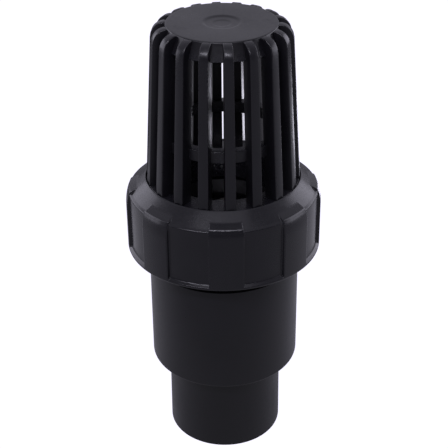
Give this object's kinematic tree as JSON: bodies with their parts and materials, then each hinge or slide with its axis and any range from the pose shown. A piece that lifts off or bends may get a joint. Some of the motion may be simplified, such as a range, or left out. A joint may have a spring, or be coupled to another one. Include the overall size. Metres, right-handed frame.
{
  "type": "foot valve",
  "caption": "Plastic foot valve: slotted strainer basket, union nut with grip lugs, barrel body with a plain pipe socket, and a spring-loaded check poppet inside.",
  "frame": {"origin": "centre of the pipe socket's end face, which the valve stands on", "axes": "+Z along the valve's axis from the pipe socket to the strainer's end disc; -Y is the side seen from the front"},
  "size_m": [0.1, 0.1, 0.2353],
  "materials": {
    "black_pvc": "satin black moulded PVC-U",
    "nut_pvc": "satin black moulded PVC-U, finely grained on the lugs",
    "strainer_pvc": "satin black moulded plastic",
    "seal_rubber": "matt EPDM",
    "stainless": "drawn and turned stainless steel",
    "bearing_plastic": "natural acetal"
  },
  "bodies": {
    "valve": {"valve_body": "black_pvc", "seat_carrier": "black_pvc", "body_o_ring": "seal_rubber", "flange_gasket": "seal_rubber", "return_spring": "stainless", "stem_guide": "black_pvc", "guide_bush": "bearing_plastic", "retaining_ring": "stainless"},
    "strainer": {"strainer_basket": "strainer_pvc"},
    "nut": {"union_nut": "nut_pvc"},
    "check_poppet": {"poppet": "black_pvc", "poppet_seal": "seal_rubber", "seal_retainer": "black_pvc", "poppet_stem": "stainless", "head_washer": "stainless", "stem_washer": "stainless", "lock_washer": "stainless", "stem_nut": "stainless"}
  },
  "joints": [
    {"name": "nut_turn", "type": "hinge", "parent": "strainer", "child": "nut", "pos_m": [0, 0, 0.135], "axis": [0, 0, 1], "range_deg": [0, 1080]},
    {"name": "strainer_lift", "type": "slide", "parent": "valve", "child": "strainer", "axis": [0, 0, 1], "range_m": [0, 0.018]},
    {"name": "poppet_open", "type": "slide", "parent": "valve", "child": "check_poppet", "axis": [0, 0, -1], "range_m": [0, 0.012], "stiffness_N_per_m": 970, "springref_m": -0.0062, "deforming": ["return_spring"]}
  ],
  "couplings": [
    {"joint": "strainer_lift", "follows": "nut_turn", "m_per_rad": 0.00095492}
  ]
}
